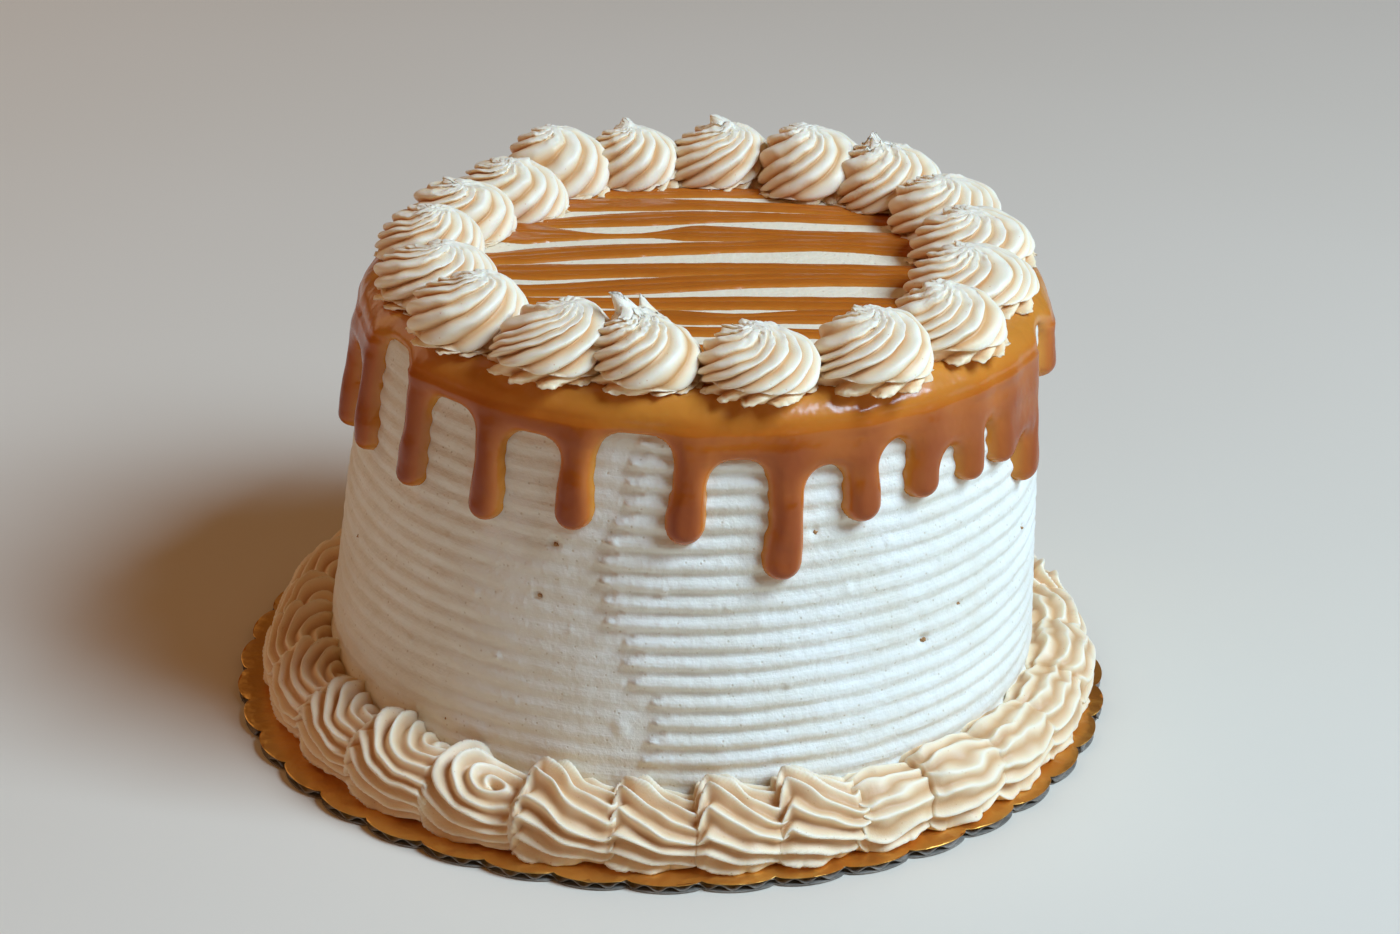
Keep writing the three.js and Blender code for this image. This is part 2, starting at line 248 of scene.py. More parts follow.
def makePipedCream(name, crest, flank, paintedHollowShade):
    # Peanut butter buttercream pushed through a star tip: satin and ivory, with painted tan shade in
    # the valleys between the ribs and under the lips, and painted shade in pinhead air bubbles
    look = dict(grain=0.5, bubble=2.6, mottle=9)
    m = newMaterial(name)
    place = addNode(m, "ShaderNodeTexCoord").outputs["Object"]
    # how much painted shade a point gets, set per vertex from each piece's ribs
    depth = addNode(m, "ShaderNodeAttribute", attribute_name="paintedHollowShade").outputs["Fac"]
    mottle = addNode(m, "ShaderNodeTexNoise", {
        "Vector": place, "Scale": perMetre(look["mottle"]), "Detail": 4})
    grain = addNode(m, "ShaderNodeTexNoise", {
        "Vector": place, "Scale": perMetre(look["grain"]), "Detail": 3, "Roughness": 0.6})
    bubbles = addNode(m, "ShaderNodeTexVoronoi", {
        "Vector": place, "Scale": perMetre(look["bubble"])})
    bubblePitsAndShade = addNode(m, "ShaderNodeMapRange", {
        "Value": bubbles.outputs["Distance"], "From Min": 0.04, "From Max": 0.1,
        "To Min": 0.6, "To Max": 0})
    flankShade = addNode(m, "ShaderNodeMapRange", {
        "Value": depth, "From Min": 0.05, "From Max": 0.45})
    deepShade = addNode(m, "ShaderNodeMapRange", {"Value": depth, "From Min": 0.45, "From Max": 1})
    amount = addNode(m, "ShaderNodeMapRange", {
        "Value": mottle.outputs[0], "To Min": 0.7, "To Max": 1.1})
    uneven = addNode(m, "ShaderNodeMath", {
        0: deepShade.outputs[0], 1: amount.outputs[0]}, operation="MULTIPLY", use_clamp=True)
    base = mixColour(m, flankShade.outputs[0], linear(crest), linear(flank))
    base = mixColour(m, uneven.outputs[0], base, linear(paintedHollowShade))
    # painted shade in the air bubbles, which are also sunk as pits below
    base = mixColour(m, bubblePitsAndShade.outputs[0], base, linear(paintedHollowShade))
    pits = addNode(m, "ShaderNodeMath", {
        0: grain.outputs[0], 1: bubblePitsAndShade.outputs[0]}, operation="SUBTRACT")
    bump = addNode(m, "ShaderNodeBump", {
        "Height": pits.outputs[0], "Strength": 0.4, "Distance": 0.25 * mm})
    gloss = addNode(m, "ShaderNodeMapRange", {
        "Value": mottle.outputs[0], "To Min": 0.38, "To Max": 0.56})
    return finishMaterial(m, {
        "Base Color": base, "Roughness": gloss.outputs[0], "Normal": bump.outputs[0],
        "Subsurface Weight": 0.2, "Subsurface Radius": (1.0, 0.6, 0.35), "Subsurface Scale": 3 * mm,
        "IOR": 1.46})


def makeCaramel():
    # Boiled sugar and cream, poured warm and set: glassy and smooth, glowing orange where it lies thin
    # and deep brown where it lies deep, with painted light on the rim's top and painted shade below it
    look = dict(thin="e0943a", body="c96f22", deep="9a460d", cloud=26, ripple=7, grain=0.4)
    m = newMaterial("setCaramel")
    place = addNode(m, "ShaderNodeTexCoord").outputs["Object"]
    # besides the caramel's depth this carries painted light on the glaze's rim top and painted shade on
    # the band below
    thicknessAndShade = addNode(m, "ShaderNodeAttribute", attribute_name="thicknessAndShade").outputs["Fac"]
    cloud = addNode(m, "ShaderNodeTexNoise", {
        "Vector": place, "Scale": perMetre(look["cloud"]), "Detail": 3})
    ripple = addNode(m, "ShaderNodeTexNoise", {
        "Vector": place, "Scale": perMetre(look["ripple"]), "Detail": 2})
    grain = addNode(m, "ShaderNodeTexNoise", {
        "Vector": place, "Scale": perMetre(look["grain"]), "Detail": 2})
    body = addNode(m, "ShaderNodeMapRange", {"Value": thicknessAndShade, "From Min": 0.15, "From Max": 0.6})
    deep = addNode(m, "ShaderNodeMapRange", {
        "Value": thicknessAndShade, "From Min": 0.6, "From Max": 1, "To Max": 0.8})
    uneven = addNode(m, "ShaderNodeMath", {0: cloud.outputs[0], 1: 0.35}, operation="MULTIPLY")
    deeper = addNode(m, "ShaderNodeMath", {
        0: deep.outputs[0], 1: uneven.outputs[0]}, operation="ADD", use_clamp=True)
    base = mixColour(m, body.outputs[0], linear(look["thin"]), linear(look["body"]))
    base = mixColour(m, deeper.outputs[0], base, linear(look["deep"]))
    soft = addNode(m, "ShaderNodeBump", {
        "Height": ripple.outputs[0], "Strength": 0.45, "Distance": 1.3 * mm})
    fine = addNode(m, "ShaderNodeBump", {
        "Height": grain.outputs[0], "Strength": 0.1, "Distance": 0.1 * mm, "Normal": soft.outputs[0]})
    gloss = addNode(m, "ShaderNodeMapRange", {
        "Value": cloud.outputs[0], "To Min": 0.15, "To Max": 0.28})
    return finishMaterial(m, {
        "Base Color": base, "Roughness": gloss.outputs[0], "Normal": fine.outputs[0],
        "Subsurface Weight": 0.25, "Subsurface Radius": (1.0, 0.35, 0.08), "Subsurface Scale": 4 * mm,
        "IOR": 1.45, "Specular IOR Level": 0.45})


def makeGoldFoil():
    # Metallised gold film glued to board: mirror-like but rippled, with a
    # brushed grain one way and small dents
    look = dict(bright="f2bd66", dull="e0a04a", brush=1.5, dent=9, cloud=40)
    m = newMaterial("goldFoilBoard")
    place = addNode(m, "ShaderNodeTexCoord").outputs["Object"]
    stretch = addNode(m, "ShaderNodeMapping", {"Vector": place, "Scale": (0.04, 1, 1)})
    brush = addNode(m, "ShaderNodeTexNoise", {
        "Vector": stretch.outputs[0], "Scale": perMetre(look["brush"]), "Detail": 4})
    dents = addNode(m, "ShaderNodeTexNoise", {
        "Vector": place, "Scale": perMetre(look["dent"]), "Detail": 3})
    cloud = addNode(m, "ShaderNodeTexNoise", {
        "Vector": place, "Scale": perMetre(look["cloud"]), "Detail": 3})
    tone = addNode(m, "ShaderNodeMapRange", {
        "Value": cloud.outputs[0], "From Min": 0.35, "From Max": 0.65})
    base = mixColour(m, tone.outputs[0], linear(look["bright"]), linear(look["dull"]))
    wide = addNode(m, "ShaderNodeBump", {
        "Height": dents.outputs[0], "Strength": 0.8, "Distance": 1.4 * mm})
    fine = addNode(m, "ShaderNodeBump", {
        "Height": brush.outputs[0], "Strength": 0.2, "Distance": 0.1 * mm, "Normal": wide.outputs[0]})
    gloss = addNode(m, "ShaderNodeMapRange", {
        "Value": brush.outputs[0], "To Min": 0.28, "To Max": 0.5})
    return finishMaterial(m, {
        "Base Color": base, "Roughness": gloss.outputs[0], "Normal": fine.outputs[0], "Metallic": 0.95})


def makeKraftPaper():
    # Recycled brown board: matt, fibrous, grey at the cut edge
    look = dict(pale="9a9184", dark="62594e", fibre=0.6, cloud=8)
    m = newMaterial("corrugatedKraftPaper")
    place = addNode(m, "ShaderNodeTexCoord").outputs["Object"]
    stretch = addNode(m, "ShaderNodeMapping", {"Vector": place, "Scale": (0.3, 1, 2)})
    fibre = addNode(m, "ShaderNodeTexNoise", {
        "Vector": stretch.outputs[0], "Scale": perMetre(look["fibre"]), "Detail": 5})
    cloud = addNode(m, "ShaderNodeTexNoise", {
        "Vector": place, "Scale": perMetre(look["cloud"]), "Detail": 2})
    tone = addNode(m, "ShaderNodeMath", {
        0: fibre.outputs[0], 1: cloud.outputs[0]}, operation="MULTIPLY")
    share = addNode(m, "ShaderNodeMapRange", {
        "Value": tone.outputs[0], "From Min": 0.1, "From Max": 0.4})
    base = mixColour(m, share.outputs[0], linear(look["dark"]), linear(look["pale"]))
    bump = addNode(m, "ShaderNodeBump", {
        "Height": fibre.outputs[0], "Strength": 0.4, "Distance": 0.15 * mm})
    gloss = addNode(m, "ShaderNodeMapRange", {
        "Value": fibre.outputs[0], "To Min": 0.75, "To Max": 0.95})
    return finishMaterial(m, {
        "Base Color": base, "Roughness": gloss.outputs[0], "Normal": bump.outputs[0]})


def makeCrumb():
    # Baked sponge crumb stuck in the icing: dry, open and brown
    look = dict(pale="c4935c", dark="7f522a", hole=0.5)
    m = newMaterial("bakedCrumb")
    place = addNode(m, "ShaderNodeTexCoord").outputs["Object"]
    holesAndShade = addNode(m, "ShaderNodeTexNoise", {
        "Vector": place, "Scale": perMetre(look["hole"]), "Detail": 3})
    # the colour is darker in the dips of the holes: painted shade
    base = mixColour(m, holesAndShade.outputs[0], linear(look["dark"]), linear(look["pale"]))
    bump = addNode(m, "ShaderNodeBump", {
        "Height": holesAndShade.outputs[0], "Strength": 0.8, "Distance": 0.3 * mm})
    gloss = addNode(m, "ShaderNodeMapRange", {
        "Value": holesAndShade.outputs[0], "To Min": 0.7, "To Max": 0.95})
    return finishMaterial(m, {
        "Base Color": base, "Roughness": gloss.outputs[0], "Normal": bump.outputs[0]})


def makeFloor():
    # Matt pale paint
    m = newMaterial("palePaintedFloor")
    place = addNode(m, "ShaderNodeTexCoord").outputs["Object"]
    cloud = addNode(m, "ShaderNodeTexNoise", {"Vector": place, "Scale": 3, "Detail": 2})
    base = mixColour(m, cloud.outputs[0], linear("e2d6c1"), linear("e9decb"))
    return finishMaterial(m, {"Base Color": base, "Roughness": 0.8})


buttercream = makeButtercream()
# each cream's second and third colours are painted shade, for the flanks and the hollows of the ribs
swirlCream = makePipedCream("swirlCream", "fff1d8", "f9deb4", "dda566")
borderCream = makePipedCream("borderCream", "fcebcf", "f4d9b0", "d09a62")
caramelFinish = makeCaramel()
goldFoil = makeGoldFoil()
kraftPaper = makeKraftPaper()
crumbFinish = makeCrumb()
print("materials made")


# Cake card: foil over fluted board, with a scalloped edge
card = dict(
    tipRadius=127, scallops=40, scallopDepth=2.6, scallopRound=0.6, columns=640, rows=44,
    plainRadius=100, foil=0.45, edgeDrop=0.36, dropWidth=3.5, wrinkle=0.35,
    flutePitch=6.5, fluteHeight=1.7, paper=0.35, liner=0.4, linerInset=0.3, linerDrop=0.02,
)
# shares of a sheet's net, from pole to pole: the plain middle, the upper face and the edge
sheetParts = dict(middle=0.2, upper=0.76, edge=0.88)


def cardEdge(angle):
    # distance of the scalloped edge from the card's centre
    bulge = abs(math.cos(math.radians(angle) * card["scallops"] / 2)) ** card["scallopRound"]
    return card["tipRadius"] - card["scallopDepth"] * (1 - bulge)


def sheetBody(low, high, inset, drop, wrinkle):
    # a scalloped sheet between two heights, its upper edge turned down a little
    middle, upper, side = sheetParts["middle"], sheetParts["upper"], sheetParts["edge"]
    plain = card["plainRadius"]

    def place(turn, share):
        angle = math.degrees(turn)
        edge = cardEdge(angle) - inset
        outer = 1 - clamp((share - middle) / (upper - middle))
        if share <= middle:
            radius = plain * share / middle
        else:
            radius = edge - (edge - plain) * outer ** 1.6  # closer rows towards the edge
        z = high
        if share <= upper:
            near = clamp(1 - (edge - radius) / card["dropWidth"])
            z -= drop * near ** 2
            ripple = rough(angle * 0.55, radius * 0.02, 3) + 0.5 * rough(angle * 1.7, radius * 0.05, 8)
            z += wrinkle * ripple * ease(radius, 112, 124)
        elif share < side:
            z = mix(high - drop, low, (share - upper) / (side - upper))
            radius = edge
        else:
            z = low
            radius = edge * clamp((1 - share) / (1 - side))
        return Vector((radius * math.cos(turn), radius * math.sin(turn), z))

    return wrappedBody(int(card["columns"] * detail), card["rows"], place)


def flutedCore():
    # the wavy middle paper, its tunnels running from front to back
    pitch = card["flutePitch"]
    stepX = pitch / 10
    reach = card["tipRadius"] - card["scallopDepth"] - 1
    columns = int(2 * reach / stepX)
    bm = bmesh.new()
    bmesh.ops.create_grid(bm, x_segments=columns, y_segments=6, size=1)
    middle = cardTop / 2
    for v in bm.verts:
        x = v.co.x * reach
        y = math.sqrt(reach ** 2 - x ** 2)
        for _ in range(3):  # finds where this line meets the scalloped edge
            edge = cardEdge(math.degrees(math.atan2(y, x))) - 0.5
            y = math.sqrt(max(edge ** 2 - x ** 2, 0.01))
        wave = math.sin(2 * math.pi * x / pitch)
        z = middle + card["fluteHeight"] / 2 * wave
        v.co = Vector((x, y * v.co.y, z))
    bmesh.ops.solidify(bm, geom=bm.faces[:], thickness=card["paper"])
    return bm


def makeCard():
    foil = sheetBody(cardTop - card["foil"], cardTop, 0, card["edgeDrop"], card["wrinkle"])
    finishPiece("cardFoil", foil, goldFoil, ["cake_card"])
    core = flutedCore()
    finishPiece("cardFlutes", core, kraftPaper, ["cake_card"])
    liner = sheetBody(0, card["liner"], card["linerInset"], card["linerDrop"], 0)
    finishPiece("cardLiner", liner, kraftPaper, ["cake_card"])


makeCard()
print("card made")


# Frosted wall: comb ridges, the seam where the comb came round, smears and pits; heights, depths
# and widths are in mm, and the seam's line is (height, angle)
comb = dict(
    pitch=5.5, firstGroove=8.2, top=119, depth=0.75, leftDepth=0.68, smearedDepth=0.46, sharpness=1.3,
    step=1.2, stepFade=60, smearWidth=13, smearFade=16, curl=0.12, curlWidth=1.2,
    finger=4, fingerSpread=4, fingerFray=0.9, waver=0.5, fineWaver=0.15,
    sink=0.35, sway=0.21, swell=0.5, lump=0.18, grit=0.1,
    columns=640, rows=132, foot=16, footInset=1,
    seamLine=[(0, 266), (15, 266), (30, 266.6), (44, 267.6), (48, 265), (59, 261.9), (66, 260),
              (70, 259), (75, 257.5), (81, 257), (84, 257.6), (91, 259.6), (100, 261), (122, 262)],
)
# pits left by air and crumbs, and flecks that stand out where depth is negative:
# angle, height, width and depth in mm
marks = [
    [218, 98, 1.6, 1.3], [248, 85, 1.5, 0.8], [246, 70, 1.4, 0.8], [266, 75, 1.3, -0.7],
    [289, 90, 1.2, 0.7], [295, 73, 1.5, -0.6], [310, 52, 1.8, 1.0], [318, 58, 1.0, 0.6],
    [261, 36, 2.2, -0.7], [231, 27, 0.8, 0.5], [200, 60, 1.2, 0.7], [340, 66, 1.3, 0.8],
    [20, 84, 1.4, 0.9], [75, 48, 1.2, 0.7], [118, 70, 1.5, 0.9], [155, 40, 1.3, 0.8],
    [235, 66, 1.0, -0.5], [228, 78, 0.9, -0.5], [240, 50, 1.1, -0.5], [252, 62, 0.8, -0.4],
    [258, 88, 0.9, -0.5], [302, 84, 1.2, -0.5], [286, 48, 0.9, -0.5], [313, 74, 1.0, -0.5],
    [215, 60, 0.9, -0.4], [222, 44, 1.0, -0.5], [244, 38, 0.8, -0.4], [325, 88, 1.0, -0.5],
]


def seamAngle(z):
    return follow(comb["seamLine"], z)


def wallOffset(angle, z):
    # mm that the icing stands out from the plain cone
    radius = wallRadius(z)
    turn = math.radians(angle)
    cx = math.cos(turn) * 3
    cy = math.sin(turn) * 3
    waver = comb["waver"] * rough(cx * 1.3, cy * 1.3, z / 40)
    waver += comb["fineWaver"] * rough(cx * 5, cy * 5, z / 9)
    phase = (z + waver - comb["firstGroove"]) / comb["pitch"]
    ridge = rough(math.floor(phase) * 3.37, 1.7, 5)
    groove = (0.5 + 0.5 * math.cos(2 * math.pi * phase)) ** comb["sharpness"]

    # the comb's last stroke starts at the seam, with a ragged finger on each ridge
    turned = turnBetween(angle, seamAngle(z))
    finger = comb["finger"] * (1 - groove) ** 3 + comb["fingerSpread"] * ridge
    finger += comb["fingerFray"] * rough(z / 1.3, cx, 5)
    beyond = math.radians(turned) * radius + finger
    rightSide = ease(beyond, -0.5, 0.7)
    freshSide = rightSide if turned <= 0 else max(rightSide, 1 - ease(turned, 70, 110))

    # left of it the ridges are flattened
    left = -turned / comb["smearWidth"]
    fadeEnd = 1 + comb["smearFade"] / comb["smearWidth"]
    flattened = ease(left, -0.01, 0.01) * (1 - ease(left, 1, fadeEnd))
    flattened *= mix(0.65, 1, ease(z, 100, 78))
    strength = mix(comb["leftDepth"], comb["smearedDepth"], flattened)
    strength = mix(strength, comb["depth"], freshSide)
    strength *= 1 + 0.35 * rough(cx * 2, cy * 2, z / 14)
    strength *= mix(0.75, mix(0.3, 1, ease(beyond, 0, 14)), rightSide)
    nearTop = 1 - ease(z, comb["top"] - 4, comb["top"])
    offset = -strength * groove * nearTop

    lift = comb["step"] * rightSide * (1 - ease(beyond, 8, comb["stepFade"]))
    lift *= 0.15 + 0.85 * (1 - groove)
    fromCurl = (beyond - comb["curlWidth"]) / comb["curlWidth"]
    curl = comb["curl"] * math.exp(-fromCurl ** 2) * (1 - groove) * ease(beyond, -0.6, 0.3)
    seamReach = ease(z, 20, 30)
    offset += (lift + curl) * seamReach
    offset -= comb["sink"] + comb["sway"] * math.sin(3 * turn + z / 20)
    offset += comb["swell"] * rough(cx * 1.1, cy * 1.1, z / 25)
    offset += comb["lump"] * rough(cx * 7, cy * 7, z / 5)
    offset += comb["grit"] * rough(cx * 24, cy * 24, z / 1.6) * mix(0.5, 1, rightSide)
    for markAngle, markZ, width, markDepth in marks:
        if abs(z - markZ) < 3 * width:
            away = math.hypot(math.radians(turnBetween(angle, markAngle)) * radius, z - markZ) / width
            offset -= markDepth * math.exp(-away ** 4)
    return offset


def denserInFront(turn):
    # squeezes the columns towards the front, where the seam is
    return turn - 0.3 * math.sin(turn + math.pi / 2)


def makeWall():
    rim = cake["rimRound"]
    topRows, rimRows, wallRows, footRows = 4, 7, int(comb["rows"] * detail), 6
    rows = topRows + rimRows + wallRows + footRows
    low = cardTop + 0.1
    rimRadius = wallRadius(cake["top"])
    foot = comb["foot"]

    def place(turn, share):
        angle = math.degrees(denserInFront(turn))
        row = share * rows
        if row <= topRows:
            radius = mix(0, rimRadius - rim, (row / topRows) ** 0.6)
            z = cake["top"] + 0.3 * rough(radius / 20, angle / 20, 1)
            return putRound(angle, radius, z)
        if row <= topRows + rimRows:
            bend = (row - topRows) / rimRows * math.pi / 2
            radius = rimRadius - rim + rim * math.sin(bend)
            z = cake["top"] - rim + rim * math.cos(bend)
            return putRound(angle, radius + wallOffset(angle, z) * math.sin(bend), z)
        if row <= topRows + rimRows + wallRows:
            down = (row - topRows - rimRows) / wallRows
            z = mix(cake["top"] - rim, foot, down)
            return putRound(angle, wallRadius(z) + wallOffset(angle, z), z)
        # down behind the border, then across the underside
        last = (row - topRows - rimRows - wallRows) / footRows
        z = mix(foot, low, min(last * 2, 1))
        radius = (wallRadius(z) - comb["footInset"]) * (1 if last <= 0.5 else 2 - 2 * last)
        return putRound(angle, radius, z)

    wall = wrappedBody(int(comb["columns"] * detail), rows, place)
    finishPiece("frostedWall", wall, buttercream, ["frosted_cake"])


def makeCrumbs():
    # a crumb of sponge sits in each pit
    bm = bmesh.new()
    for number, (angle, z, width, markDepth) in enumerate(marks):
        if markDepth < 0:
            continue
        ball = bmesh.ops.create_icosphere(bm, subdivisions=3, radius=0.55 * width)["verts"]
        spot = putRound(angle + 0.3, wallRadius(z) + wallOffset(angle, z), z - 0.3 * width)
        for v in ball:
            v.co *= 1 + 0.7 * rough(v.co.x * 1.7, v.co.y * 1.7 + number, v.co.z * 1.7)
            v.co = spot + Vector((v.co.x, v.co.y, 0.7 * v.co.z))
    finishPiece("spongeCrumbs", bm, crumbFinish, ["frosted_cake"])


makeWall()
makeCrumbs()
print("frosted wall and crumbs made")


# Caramel glaze over the rim with its drips; a skin is the depth of caramel lying there, in mm
glaze = dict(
    innerRadius=79, innerEdge=0.2, topSkin=2.1, bandSkin=3.4, dripSkin=4.6, flowSkin=0.7, flowWidth=3.4,
    swell=0.55, ripple=0.3, edgeRound=4.2, flare=7.5, dripReach=14, dripNeck=0.16,
    lowest=76, sunk=-2.6, steepness=5, backing=0.8, brownAt=5,
    columns=720, topRows=10, rimRows=12, wallRows=60, hiddenDrips=9, hiddenPitch=17.6,
)
# drips that show, anticlockwise from the left side: angle, tip height, width, arch height after it
drips = [
    [188, 84.7, 8, 112], [202, 87.6, 8, 122.6], [218.5, 87.9, 9, 116], [235.5, 87.5, 9.2, 114],
    [251, 90.5, 9.8, 118], [268.4, 89.3, 9.8, 112], [283.7, 79, 9.8, 109], [296.5, 92.2, 9.5, 113],
    [307.5, 94.7, 9.4, 107], [318.3, 94.5, 8.2, 110], [327.4, 94.5, 8.6, 99.5],
    [337, 83, 9, 122.4], [352, 104, 9.5, 114],
]


def allDrips():
    hidden = []
    for i in range(glaze["hiddenDrips"]):
        sway = math.sin(2.4 * i + 1)
        angle = drips[-1][0] + (i + 1) * glaze["hiddenPitch"] + 1.6 * sway + 1.5
        hidden.append([angle, 90 + 6 * math.sin(1.7 * i), 9 + 0.6 * sway, 114 + 3 * math.sin(3.1 * i)])
    return drips + hidden


dripList = allDrips()


def archHeight(angle):
    # height of the glaze's lower edge between drips
    angle = (angle - dripList[0][0]) % 360 + dripList[0][0]
    height = dripList[-1][3]
    for drip in dripList:
        height = mix(height, drip[3], ease(angle, drip[0] - 2, drip[0] + 2))
    return height


def glazeInside(angle, z):
    # mm inside the glaze's outline, negative outside it
    radius = wallRadius(z)
    inside = z - archHeight(angle)
    for i, (dripAngle, tip, width, _) in enumerate(dripList):
        away = turnBetween(angle, dripAngle)
        if abs(away) > glaze["dripReach"]:
            continue
        half = width / 2
        sway = 0.5 * math.sin(z / 8 + 2 * i)
        sideways = abs(math.radians(away) * radius + sway * ease(z, tip + 4, tip + 16))
        above = z - tip - half
        if above < 0:
            reach = half * 1.06 - math.hypot(sideways, above)
        else:
            neck = 1.06 - glaze["dripNeck"] * ease(above, 2, 12) + 0.1 * ease(above, 12, 26)
            reach = half * neck - sideways
        inside = smoothMax(inside, reach, glaze["flare"])
    return inside


def overDrip(angle):
    # 1 above a drip, falling to 0 beside it: the glaze runs thicker there
    best = 0
    for drip in dripList:
        away = turnBetween(angle, drip[0])
        best = max(best, math.exp(-(away / glaze["flowWidth"]) ** 2))
    return best


def makeGlaze():
    rim = cake["rimRound"] + 1
    topRows = glaze["topRows"]
    rimRows = int(glaze["rimRows"] * detail)
    wallRows = int(glaze["wallRows"] * detail)
    rows = topRows + rimRows + wallRows
    columns = int(glaze["columns"] * detail)
    rimRadius = wallRadius(cake["top"])
    bm = bmesh.new()
    bmesh.ops.create_grid(bm, x_segments=columns, y_segments=rows, size=0.5)
    thicknessAndShade = bm.verts.layers.float.new("thicknessAndShade")
    depthOf = {}
    for v in bm.verts:
        turn = (v.co.x + 0.5) * 2 * math.pi
        angle = math.degrees(denserInFront(turn))
        row = round((0.5 - v.co.y) * rows)
        flow = overDrip(angle)
        if row <= topRows:
            share = row / topRows
            radius = mix(glaze["innerRadius"], rimRadius - rim, share)
            z = cake["top"]
            tilt = 0
            inside = glaze["edgeRound"]
        elif row <= topRows + rimRows:
            bend = (row - topRows) / rimRows * math.pi / 2
            tilt = bend
            radius = rimRadius - rim + rim * math.sin(bend)
            z = cake["top"] - rim + rim * math.cos(bend)
            inside = glazeInside(angle, z)
        else:
            down = (row - topRows - rimRows) / wallRows
            z = mix(cake["top"] - rim, glaze["lowest"], down)
            radius = wallRadius(z)
            tilt = math.pi / 2
            inside = glazeInside(angle, z)
        below = cake["top"] - z
        skin = mix(glaze["topSkin"], glaze["bandSkin"], ease(below, 0, 9))
        skin = mix(skin, glaze["dripSkin"], ease(below, 12, 30))
        skin += glaze["flowSkin"] * flow * ease(below, 1, 8) * (1 - ease(below, 14, 26))
        turnX = math.cos(math.radians(angle)) * 3
        turnY = math.sin(math.radians(angle)) * 3
        skin += glaze["swell"] * rough(turnX * 1.6, turnY * 1.6, z / 7) * ease(below, 0, 3)
        ripple = glaze["ripple"] * math.sin(below / 1.9 + 2 * rough(turnX, turnY, 4))
        skin += ripple * ease(below, 2, 5) * (1 - ease(below, 9, 13))
        if inside > 0:
            body = math.sqrt(1 - (1 - min(inside / glaze["edgeRound"], 1)) ** 2)
            depth = max(skin * body, 0.02)
        else:
            depth = max(inside * glaze["steepness"], glaze["sunk"])
        if row == 0:
            depth = glaze["innerEdge"]
        lift = depth * math.cos(tilt)
        out = depth * math.sin(tilt)
        v.co = putRound(angle, radius + out, z + lift)
        # painted light and shade: the depth is made to read thinner on the rim's top and thicker down
        # the side, so the top shows lighter and the band below darker
        v[thicknessAndShade] = clamp(depth / glaze["brownAt"] * mix(0.6, 1.15, ease(below, 3, 9)))
        depthOf[v] = depth
    hidden = [f for f in bm.faces if all(depthOf[v] < glaze["sunk"] + 0.01 for v in f.verts)]
    bmesh.ops.delete(bm, geom=hidden, context="FACES")
    bmesh.ops.remove_doubles(bm, verts=bm.verts, dist=0.001)
    bmesh.ops.recalc_face_normals(bm, faces=bm.faces)
    bmesh.ops.solidify(bm, geom=bm.faces[:], thickness=glaze["backing"])
    finishPiece("caramelGlaze", bm, caramelFinish, ["caramel"])


makeGlaze()
print("glaze made")


# Caramel drizzled back and forth across the top
drizzle = dict(
    reach=85, columns=100, rows=420, height=0.85, edge=1.5, narrowing=0.45, tilt=0.25, blend=0.4,
    crease=0.5, creaseAt=0.12, secondCrease=0.3, secondAt=0.5, creaseWidth=0.42,
    slope=3, lowest=-1.5, deepest=-1.2, dropBelow=-0.9, lift=0.2, backing=0.5, tone=0.42,
)
# each stroke of the drizzle, from the back to the front: its line as (x, y) in mm from the cake's
# axis, and its width as (x, width)
strokes = [
    ([(-60, 76), (0, 77), (60, 77)], [(0, 8)]),
    ([(-75, 63), (-18, 66.7), (20, 68.3), (75, 69)], [(0, 8.2)]),
    ([(-75, 50), (-45, 53.6), (-17, 56.6), (16, 56.3), (53, 53), (75, 52)],
     [(-34, 10.6), (16, 7.6), (50, 8.5)]),
    ([(-75, 34), (-49, 37.8), (-25, 42.7), (7, 47), (40, 46.9), (75, 45)],
     [(-49, 7), (-20, 11.3), (24, 7), (50, 8.5)]),
    ([(-75, 26), (-57, 29.3), (-33, 28.6), (-17, 30.1), (0, 32.7), (32, 31), (75, 30)],
     [(-66, 8), (-53, 16), (-41, 9.4), (-31, 4.2), (-17, 4), (-7, 11), (0, 13), (15, 10.4),
      (56, 10.6)]),
    ([(-75, 5), (-60, 8.7), (-32, 15.4), (0, 20.6), (31, 24.4), (58, 22.8), (75, 21)],
     [(-60, 9), (-48, 11.3), (15, 9), (58, 12)]),
    ([(-75, -2), (-47, -1.6), (-16, 1.7), (15, 3.9), (75, 4)],
     [(-59, 10.2), (-47, 12.4), (-16, 10.4), (75, 9.6)]),
    ([(-75, -17), (-49, -15.9), (-31, -13.5), (0, -7.3), (15, -4.9), (39, -3), (75, -3)],
     [(-49, 8.6), (-16, 12), (39, 9)]),
    ([(-75, -24), (-16, -24), (15, -22), (49, -21.5), (75, -22)], [(-48, 6), (0, 9.5), (49, 10)]),
    ([(-75, -38), (-23, -33.5), (7, -34.2), (30, -31.4), (75, -30)],
     [(-23, 7.3), (-8, 9.6), (10, 7.8), (30, 10)]),
    ([(-70, -46), (-4, -44), (30, -44), (70, -46)], [(0, 6.8)]),
    ([(-70, -58), (0, -57), (70, -54)], [(0, 8)]),
    ([(-60, -66), (0, -68), (60, -68)], [(0, 8)]),
]


